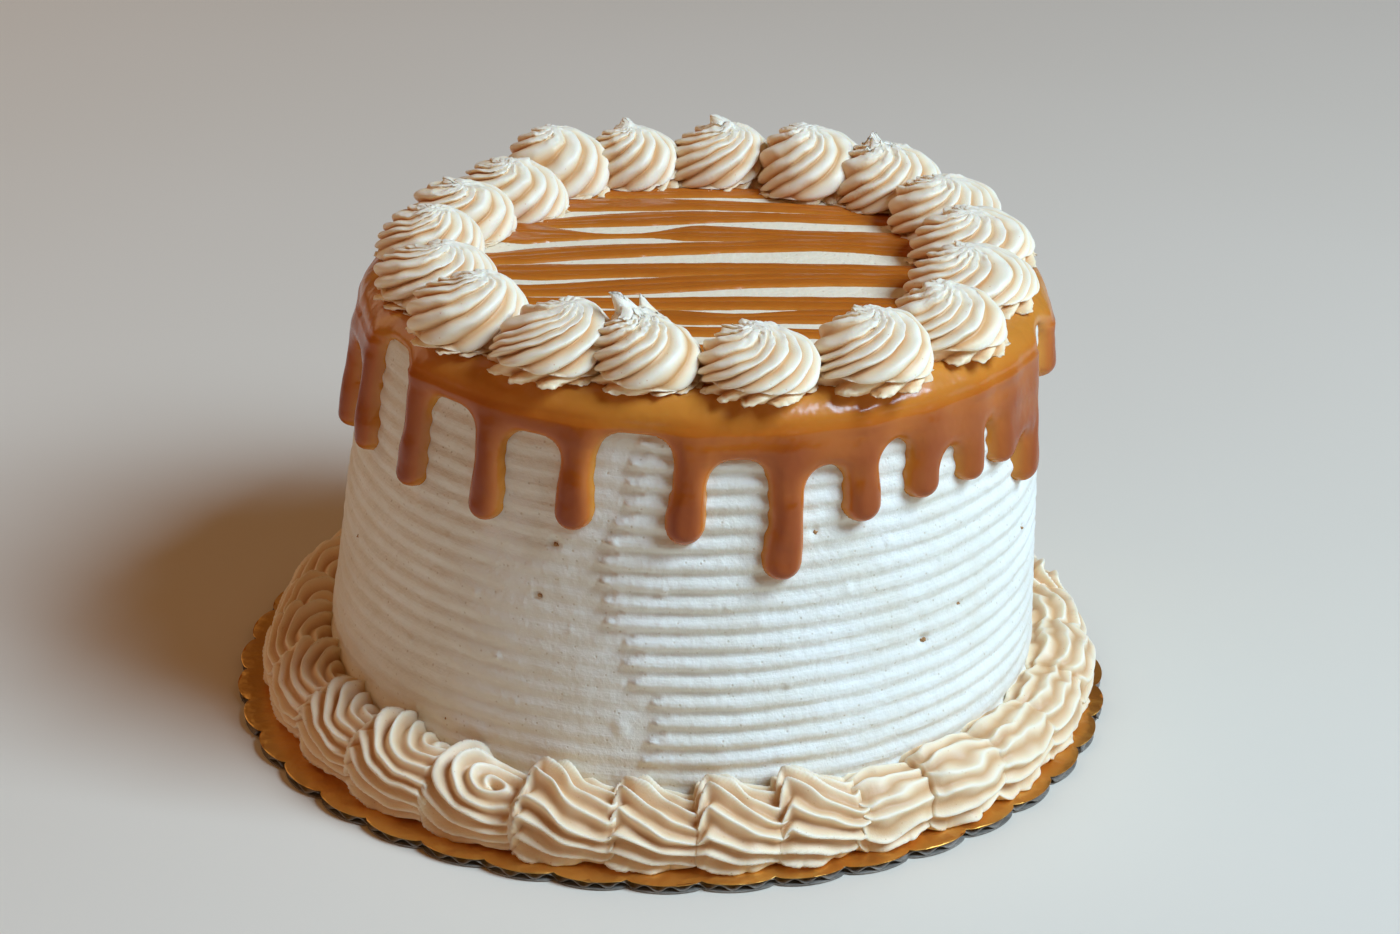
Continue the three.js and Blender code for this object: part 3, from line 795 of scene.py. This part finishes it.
def drizzleHeight(x, y):
    # x and y in mm from the cake's axis; a deep and a faint crease run along each stroke
    best = drizzle["lowest"]
    for number, (line, widths) in enumerate(strokes):
        middle = follow(line, x)
        if abs(y - middle) > 14:
            continue
        half = follow(widths, x) / 2 - drizzle["narrowing"]
        half *= 1 + 0.08 * rough(x / 9, number * 3.1, 2)
        half += 0.25 * rough(x / 2.5, y / 4, number)
        away = y - middle
        inside = half - abs(away)
        if inside > 0:
            body = math.sqrt(1 - (1 - min(inside / drizzle["edge"], 1)) ** 2)
            height = drizzle["height"] * body * (1 + 0.12 * rough(x / 25, y / 5, number))
            first = away - half * drizzle["creaseAt"] - 0.5 * rough(x / 30, number * 2.1, 5)
            first = math.exp(-(first / drizzle["creaseWidth"]) ** 2)
            height -= drizzle["crease"] * first * ease(rough(x / 40, number * 1.7, 9), -0.5, -0.1)
            second = away + half * drizzle["secondAt"] - 0.4 * rough(x / 25, number * 3.3, 2)
            second = math.exp(-(second / drizzle["creaseWidth"]) ** 2)
            height -= drizzle["secondCrease"] * second * ease(rough(x / 35, number * 2.7, 4), -0.2, 0.1)
            height -= drizzle["tilt"] * ease(away, -half * 0.2, -half)
        else:
            height = inside * drizzle["slope"]
        best = smoothMax(best, height, drizzle["blend"])
    return best


def makeDrizzle():
    columns = int(drizzle["columns"] * detail)
    rows = int(drizzle["rows"] * detail)
    bm = bmesh.new()
    bmesh.ops.create_grid(bm, x_segments=columns, y_segments=rows, size=1)
    thicknessAndShade = bm.verts.layers.float.new("thicknessAndShade")
    reach = drizzle["reach"]
    axis = putRound(0, 0, cake["top"])
    heightOf = {}
    for v in bm.verts:
        y = v.co.y * reach
        x = v.co.x * math.sqrt(max(reach ** 2 - y ** 2, 1))
        height = drizzleHeight(x, y)
        stand = cake["top"] + drizzle["lift"] + max(height, drizzle["deepest"])
        v.co = Vector((axis.x + x, axis.y + y, stand))
        v[thicknessAndShade] = clamp(drizzle["tone"] + height / 3)
        heightOf[v] = height
    hidden = [f for f in bm.faces if all(heightOf[v] < drizzle["dropBelow"] for v in f.verts)]
    bmesh.ops.delete(bm, geom=hidden, context="FACES")
    bmesh.ops.recalc_face_normals(bm, faces=bm.faces)
    bmesh.ops.solidify(bm, geom=bm.faces[:], thickness=drizzle["backing"])
    finishPiece("caramelDrizzle", bm, caramelFinish, ["caramel"])


makeDrizzle()
print("drizzle made")


# Piped swirls on top. A swirl's surface runs from its peak (0) over the lip and the tucked side to
# the middle of its foot (1); dome and fall give its radius and height down to the lip, and turning
# how far the ribs have turned
swirl = dict(
    columns=180, rows=66, flatFoot=126.8, onGlaze=128.4, highestLip=0.3, lowestLip=0.09,
    lipAt=0.62, tuckAt=0.7, footAt=0.88, tuck=0.13, lipWidth=0.98, footWidth=0.96, footSpike=0.08,
    spread=1.08, unevenSpread=0.25, ridgeLip=0.07, underDrop=0.04,
    dome=[(0, 0), (0.1, 0.18), (0.2, 0.37), (0.35, 0.63), (0.5, 0.82), (0.65, 0.94), (0.8, 1),
          (0.92, 1.02), (1, 0.99)],
    fall=[(0, 1), (0.1, 0.97), (0.2, 0.91), (0.35, 0.78), (0.5, 0.62), (0.65, 0.44), (0.8, 0.24),
          (0.92, 0.08), (1, 0)],
    turning=[(0, 215), (0.1, 178), (0.25, 132), (0.45, 88), (0.62, 52), (0.75, 30), (0.88, 12), (1, 0)],
    ribDepth=0.19,
)
# front right one first: ribs, lean of the peak along the ring and outwards, how torn the peak is
swirlHabits = [
    [11, 3, -3, 0.8], [12, -1, -3, 0.9], [12, -4, -1, 1.5], [12, 3, -4, 0.7], [11, 3, -3, 0.7],
    [12, 3, -2, 0.6], [12, 3, -2, 0.8], [9, 4, -2, 0.9], [10, 3, -1, 0.8], [8, 3, 0, 0.8],
    [11, 2, 0, 0.8], [12, -4, 0, 1.2], [10, 3, 0, 0.9], [11, 3, 0, 1.5], [12, 2, 0, 0.7],
    [11, 3, -1, 0.7], [12, 3, -2, 0.7], [11, 2, -3, 0.9],
]
# places where the torn cream was drawn out as the tip lifted: turn in degrees, distance down from
# the peak as a share of the surface, pull in mm (right, back, up), and width in mm
pulls = {
    1: [[150, 0.1, (-2, 1, 0.5), 1.8]],
    2: [[110, 0.13, (-1, 1, 1), 2], [170, 0.14, (-2.5, 1, 0.8), 1.8]],
    3: [[150, 0.06, (-5, 1, 7), 2.1], [60, 0.12, (-2.5, 1, 4.5), 1.9]],
    8: [[120, 0.1, (-3, 1, 1), 2]],
    9: [[30, 0.1, (2, 1, 1), 1.8]],
    11: [[100, 0.08, (-1, 1, 2), 1.8]],
    12: [[160, 0.06, (-3, 0, 3.5), 2.1]],
    14: [[150, 0.06, (-1, 0, 4), 2]],
    18: [[170, 0.1, (-2, 0, 1), 1.8]],
}
# mm that a peak gives up, so that its drawn tips stay within its solid's height
loweredPeaks = {1: 0.6, 2: 1.5, 3: 4.5, 11: 1.4, 12: 2.5, 14: 3.2, 18: 0.6}


def lobe(turns):
    # one rounded rib for each whole turn, with a narrow crease between two, steep on the lower side
    t = turns - math.floor(turns)
    return math.sin(math.pi * t ** 0.72) ** 0.8


def makeSwirl(number, habit):
    ribs, leanAlong, leanOut, torn = habit
    node = "top_swirl_%02d" % number
    low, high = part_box(node)
    low, high = low / mm, high / mm
    axis = putRound(0, 0, cake["top"])
    centre = (low + high) / 2
    outward = Vector((centre.x - axis.x, centre.y - axis.y, 0)).normalized()
    along = Vector((-outward.y, outward.x, 0))
    halfWidth = max(high.x - low.x, high.y - low.y) / 2
    peakZ = high.z - loweredPeaks.get(number, 0)
    draw = random.Random(number)
    sway = [draw.uniform(0, 6.28) for _ in range(6)]
    lipTurn = math.atan2(outward.y, outward.x) - 0.9 + draw.uniform(-0.6, 0.6)
    lipAt, tuckAt, footAt = swirl["lipAt"], swirl["tuckAt"], swirl["footAt"]
    lipWidth, footWidth, underDrop = swirl["lipWidth"], swirl["footWidth"], swirl["underDrop"]
    pulled = []

    def place(turn, share):
        uneven = 0.16 * math.sin(2 * turn + sway[0]) + 0.09 * math.sin(3 * turn + sway[1])
        under = ease(share, lipAt, tuckAt)
        crest = lobe(ribs * (turn + uneven) / (2 * math.pi) + 0.5 * under + sway[2])
        strength = 1 + 0.25 * math.sin(turn * 2 + sway[3]) + 0.25 * math.sin(5 * turn + sway[4])
        facing = 0.5 + 0.5 * math.cos(turn + 0.8 - lipTurn)
        lip = mix(swirl["lowestLip"], swirl["highestLip"], facing ** 1.5)
        tuck = swirl["tuck"] * facing
        ribDepth = swirl["ribDepth"] * strength
        valley = 1 - crest
        if share <= lipAt:
            s = share / lipAt
            radius = follow(swirl["dome"], s)
            lip -= swirl["ridgeLip"] * crest * ease(s, 0.7, 1)
            up = lip + (1 - lip) * follow(swirl["fall"], s)
            radius -= min(ribDepth, 0.4 * radius) * valley
        elif share <= tuckAt:
            s = (share - lipAt) / (tuckAt - lipAt)
            radius = lipWidth - tuck * s - ribDepth * valley * (1 - 0.5 * s)
            up = lip - swirl["ridgeLip"] * crest * (1 - s) - underDrop * s
        elif share <= footAt:
            s = (share - tuckAt) / (footAt - tuckAt)
            radius = mix(lipWidth - tuck, footWidth, s) - ribDepth * mix(0.5, 1.1, s) * valley
            radius += swirl["footSpike"] * crest ** 2 * s
            up = (lip - underDrop) * (1 - s)
        else:
            s = (share - footAt) / (1 - footAt)
            radius = footWidth - 1.1 * ribDepth * valley + swirl["footSpike"] * crest ** 2
            radius *= 1 - s
            up = 0
        radius *= swirl["spread"] + swirl["unevenSpread"] * uneven
        around = turn + math.radians(follow(swirl["turning"], share))
        spot = centre + Vector((math.cos(around), math.sin(around), 0)) * radius * halfWidth
        fromAxis = math.hypot(spot.x - axis.x, spot.y - axis.y)
        stand = mix(swirl["flatFoot"], swirl["onGlaze"], ease(fromAxis, 76, 84))
        spot.z = stand + up * (peakZ - stand)
        tip = clamp(up) ** 2.5
        spot += along * leanAlong * tip + outward * leanOut * tip
        ragged = torn * 0.8 * ease(up, 0.75, 1)
        ragged += 0.7 * ease(share, 0.76, 0.85) * (1 - ease(share, 0.87, 0.9))
        spot += noise.noise_vector(spot * 0.75 + Vector((number, 0, 0))) * ragged
        spot += noise.noise_vector(spot * 0.2 + Vector((0, number, 0))) * 0.8 * up
        for tugAt, tug, width in pulled:
            spot += tug * math.exp(-((spot - tugAt).length / width) ** 2)
        spot.z = min(spot.z, high.z)
        # the second value is painted shade: deepest in the valleys between ribs and under the lip
        return spot, clamp(1.3 * valley * ease(share, 0.02, 0.3) + 0.3 * under + 0.1)

    # each tug starts from the surface as it is before any tug
    tugs = []
    for turn, share, pull, width in pulls.get(number, []):
        around = math.radians(turn - follow(swirl["turning"], share))
        tugs.append([place(around, share)[0], Vector(pull), width])
    pulled.extend(tugs)
    bm = wrappedBody(int(swirl["columns"] * detail), int(swirl["rows"] * detail), place, "paintedHollowShade")
    finishPiece("topSwirl%02d" % number, bm, swirlCream, [node])


for number, habit in enumerate(swirlHabits, 1):
    makeSwirl(number, habit)
print("swirls made")


# Border at the foot, one piece from each joint to the next: ribs that loop round an eye at the left
# and behind, fall in steep waves in front, and lie in broad folds at the right
border = dict(
    shells=29, firstJoint=246.8, warp=2.5, warpPhase=225, radius=109, reachOut=12, reachUp=13,
    sink=0.66, overlap=1.6, columns=116, rows=60, crestRound=0.3,
    wave=6, lowWave=2.5, softWave=3, ribFall=1, eyeDepth=2.6, eyeWidth=1.7,
    headCrest=2, headLean=1.4, softHeight=0.12, softWidth=0.07,
    footOut=0.8, footRagged=1.1, footRidge=0.8, footLobe=1.6, unrest=0.9,
    sectionFrom=-55, sectionTo=160, sectionShare=0.84, sectionRadius=12.5,
    height=[(-0.06, 0.7), (0, 0.74), (0.08, 0.9), (0.17, 1), (0.34, 0.96), (0.6, 0.84), (0.85, 0.75),
            (1, 0.72), (1.06, 0.7)],
    width=[(-0.06, 0.92), (0, 0.93), (0.2, 1), (0.6, 1.01), (0.85, 0.96), (1, 0.93), (1.06, 0.92)],
)
# spacing and depth of the ribs in mm, and how narrow their crests are
ribStyles = dict(
    loop=dict(pitch=4.3, depth=2.4, sharpness=1.8, unrest=0.18),
    wave=dict(pitch=5.5, depth=2.7, sharpness=2.2, unrest=0.18),
    fold=dict(pitch=6.4, depth=1.7, sharpness=1.8, unrest=0.4),
)


def jointAngle(number):
    even = border["firstJoint"] + 360 / border["shells"] * number
    return even + border["warp"] * math.sin(3 * math.radians(even - border["warpPhase"]))


def shellHabit(number):
    # kind of rib, length to the next joint, and where the eye of a loop sits
    number = number % border["shells"]
    draw = random.Random(100 + number)
    start = jointAngle(number)
    length = math.radians(jointAngle(number + 1) - start) * border["radius"]
    facing = start % 360
    kind = "loop" if 20 < facing < 246 else "fold" if facing > 294 or facing < 8 else "wave"
    spiral = 232 < facing < 246  # the one round curl that faces the front left
    eyeSection = 68 if spiral else 116 + draw.uniform(-6, 6)
    eyeAt = length * (0.62 if spiral else 0.76 + draw.uniform(-0.04, 0.04))
    return dict(
        start=start, length=length, kind=kind, eyeSection=eyeSection, eyeAt=eyeAt,
        seed=draw.uniform(0, 50), size=1 + 0.05 * math.sin(2.3 * number + 2),
    )


def acrossAt(section):
    # mm over the piece's back, from the wall of the cake, for a direction in degrees round its section
    return (border["sectionTo"] - section) * math.pi / 180 * border["sectionRadius"]


def eyeDistance(x, across, habit):
    # from the eye of a loop, along the piece and across it; loops are longer on the far side
    sideX = x - habit["eyeAt"]
    return (sideX / 1.6 if sideX > 0 else sideX), across - acrossAt(habit["eyeSection"])


def ribLoop(x, across, habit):
    # rises by one from each rib to the next, in loops that open round the eye
    sideX, sideY = eyeDistance(x, across, habit)
    turns = math.atan2(sideX, sideY) / (2 * math.pi)
    return math.hypot(sideX, sideY) / ribStyles["loop"]["pitch"] + turns


def ribWave(x, across, habit):
    # ribs that rise steeply at the joint and then fall away slowly, one rib lower at each shell
    share = x / habit["length"]
    if share < 0.14:
        wave = ease(share, -0.12, 0.14)
    else:
        wave = (1 - clamp((share - 0.14) / 0.76)) ** 1.2
    height = mix(border["wave"], border["lowWave"], ease(across, 16, 34))
    return (across + height * wave) / ribStyles["wave"]["pitch"] - border["ribFall"] * share


def ribFold(x, across, habit):
    # broad soft folds that climb away from the joint
    share = x / habit["length"]
    height = border["softWave"] * mix(1, 0.5, ease(across, 18, 36))
    return (across + height * clamp(share + 0.05) ** 1.2) / ribStyles["fold"]["pitch"]


ribLines = {"loop": ribLoop, "wave": ribWave, "fold": ribFold}


def ribField(x, across, habits):
    # the ribs' count at a place, blended over the joints with the pieces on both sides
    former, habit, latter = habits
    parts = [
        (x + former["length"], former, 1),
        (x, habit, 0),
        (x - habit["length"], latter, -1),
    ]
    field = 0
    for along, piece, turns in parts:
        weight = ease(along, -2, 2.2) * (1 - ease(along - piece["length"], -2, 2.2))
        if weight > 0:
            value = ribLines[piece["kind"]](along, across, piece)
            if piece["kind"] == "wave":
                value += border["ribFall"] * turns
            field += weight * value
    angle = math.radians(habit["start"]) + x / border["radius"]
    unrest = ribStyles[habit["kind"]]["unrest"]
    return field + unrest * rough(math.cos(angle) * 16, math.sin(angle) * 16, across / 7)


def makeShell(number):
    node = "base_shell_%02d" % (number + 1)
    habits = [shellHabit(number - 1), shellHabit(number), shellHabit(number + 1)]
    habit = habits[1]
    length, size, seed = habit["length"], habit["size"], habit["seed"]
    isLoop = habit["kind"] == "loop"
    soft = 1 if habit["kind"] == "fold" else 0
    rib = ribStyles[habit["kind"]]
    centreZ = cardTop + border["sink"] * border["reachUp"] * size
    overlap, seenShare = border["overlap"], border["sectionShare"]
    first, last, crestRound = border["sectionFrom"], border["sectionTo"], border["crestRound"]

    def place(turn, share):
        x = mix(-overlap, length + overlap, share)
        closing = math.sqrt(clamp(1 - (1 - clamp((x + overlap) / 0.7)) ** 2))
        closing *= math.sqrt(clamp(1 - (1 - clamp((length + overlap - x) / 0.8)) ** 2))
        closing *= 1 - 0.04 * ease(x, length - 1.5, length)
        part = turn / (2 * math.pi) + 0.5
        if part < seenShare:
            section = mix(first, last, part / seenShare)
        else:
            section = mix(last, first + 360, (part - seenShare) / (1 - seenShare))
        across = acrossAt(section)
        field = ribField(x, across, habits)
        slopeX = ribField(x + 0.3, across, habits) - field
        slopeY = ribField(x, across + 0.3, habits) - field
        slopeX -= round(slopeX)
        slopeY -= round(slopeY)
        spacing = clamp(0.3 / math.hypot(slopeX, slopeY, 0.001), 1, 8)
        within = field - math.floor(field)
        fromCrest = math.hypot(min(within, 1 - within) * spacing, crestRound) - crestRound
        fin = clamp(1 - fromCrest / (spacing / 2)) ** rib["sharpness"]
        seen = ease(section, -55, -35) * (1 - ease(section, 150, 200))
        head = ease(x, -1, 3) * (1 - ease(x, 7, 14))
        depth = rib["depth"] * mix(0.8, 1.1, head) * seen
        depth = min(depth, 0.62 * spacing)
        tall = border["reachUp"] * size * mix(follow(border["height"], x / length), 0.92, 0.5 * soft)
        puff = soft * (1 - math.sin(math.pi * clamp(x / length + 0.05)))
        tall *= 1 - border["softHeight"] * puff
        wide = border["reachOut"] * size * follow(border["width"], x / length)
        wide *= 1 - border["softWidth"] * puff
        stand = border["headCrest"] * fin * head * (1 - soft) * ease(section, 50, 90) * seen
        cut = depth * (1 - fin) - stand
        if isLoop:
            fromEye = math.hypot(*eyeDistance(x, across, habit)) / border["eyeWidth"]
            cut += border["eyeDepth"] * math.exp(-fromEye ** 2)
        angleUp = math.radians(section)
        outward = math.cos(angleUp) * max(wide - cut, 1) * closing
        z = centreZ + math.sin(angleUp) * max(tall - cut, 1) * closing
        lowPart = ease(z, 8, 3.5) * ease(outward, 2, 8)
        spread = border["footOut"] + border["footRagged"] * rough(x / 3.2, 7.7, seed)
        outward += lowPart * (spread + border["footRidge"] * fin)
        if not isLoop:
            scallop = math.sqrt(abs(math.sin(2.3 * math.pi * x / length + seed)))
            outward += lowPart * border["footLobe"] * (scallop - 0.7)
        hook = ease(x, -1.5, 1) * (1 - ease(x, 3, 8))
        lean = fin * hook * border["headLean"] * seen * (1 - 0.6 * soft)
        angle = habit["start"] + math.degrees((x - lean) / border["radius"])
        spot = putRound(angle, border["radius"] + outward, z)
        spot += noise.noise_vector(spot * 0.12) * border["unrest"]
        spot.z = max(spot.z, cardTop + 0.05)
        # the second value is painted shade in the valleys between the ribs
        return spot, clamp((1 - fin) * seen * 0.88 + 0.08)

    bm = wrappedBody(int(border["columns"] * detail), int(border["rows"] * detail), place, "paintedHollowShade")
    finishPiece("baseShell%02d" % (number + 1), bm, borderCream, [node])


for number in range(border["shells"]):
    makeShell(number)
print("border made")


# Floor, light and camera
def makeStage():
    bm = bmesh.new()
    bmesh.ops.create_grid(bm, x_segments=8, y_segments=8, size=4)
    mesh = bpy.data.meshes.new("floor")
    bm.to_mesh(mesh)
    bm.free()
    mesh.materials.append(makeFloor())
    floor = bpy.data.objects.new("floor", mesh)
    floor.location.z = -0.0002
    bpy.context.scene.collection.objects.link(floor)


def addAreaLight(name, place, aim, size, power, colour):
    light = bpy.data.lights.new(name, "AREA")
    light.shape = "RECTANGLE"
    light.size, light.size_y = size
    light.energy = power
    light.color = linear(colour)[:3]
    lamp = bpy.data.objects.new(name, light)
    lamp.location = place
    lamp.rotation_euler = (Vector(aim) - Vector(place)).to_track_quat("-Z", "Y").to_euler()
    bpy.context.scene.collection.objects.link(lamp)


def makeLights():
    # a large cool light in front at the right, weak warm fills from the left and behind, and a
    # brownish glow all round
    addAreaLight("window", (1.22, -0.6, 1.42), (0, 0, 0.07), (0.85, 0.85), 54, "c2e1ff")
    addAreaLight("warmFill", (-1.4, -0.6, 0.6), (0, 0, 0.06), (1.2, 1.2), 1.9, "ffa65c")
    addAreaLight("backFill", (-1.2, 0.9, 0.8), (0, 0, 0.06), (1.0, 1.0), 3.0, "ffe2c0")
    world = bpy.data.worlds.new("softRoom")
    bpy.context.scene.world = world
    world.use_nodes = True
    world.node_tree.nodes["Background"].inputs["Color"].default_value = linear("c48c55")
    world.node_tree.nodes["Background"].inputs["Strength"].default_value = 0.22


def makeCamera():
    view = dict(lens=85, sensor=36, target=(7.23, 0, 65.7), distance=950.84, elevation=24.02, roll=1.12)
    rise = math.radians(view["elevation"])
    roll = math.radians(view["roll"])
    back = Vector((0, -math.cos(rise), math.sin(rise)))
    flatRight = Vector((1, 0, 0))
    plainUp = back.cross(flatRight)
    right = flatRight * math.cos(roll) + plainUp * math.sin(roll)
    up = plainUp * math.cos(roll) - flatRight * math.sin(roll)
    camera = bpy.data.cameras.new("camera")
    camera.lens = view["lens"]
    camera.sensor_width = view["sensor"]
    holder = bpy.data.objects.new("camera", camera)
    turned = Matrix((right, up, back)).transposed().to_4x4()
    place = (Vector(view["target"]) + back * view["distance"]) * mm
    holder.matrix_world = Matrix.Translation(place) @ turned
    bpy.context.scene.collection.objects.link(holder)
    bpy.context.scene.camera = holder


makeStage()
makeLights()
makeCamera()
bpy.context.scene.view_settings.view_transform = "Standard"
print("stage, lights and camera set")
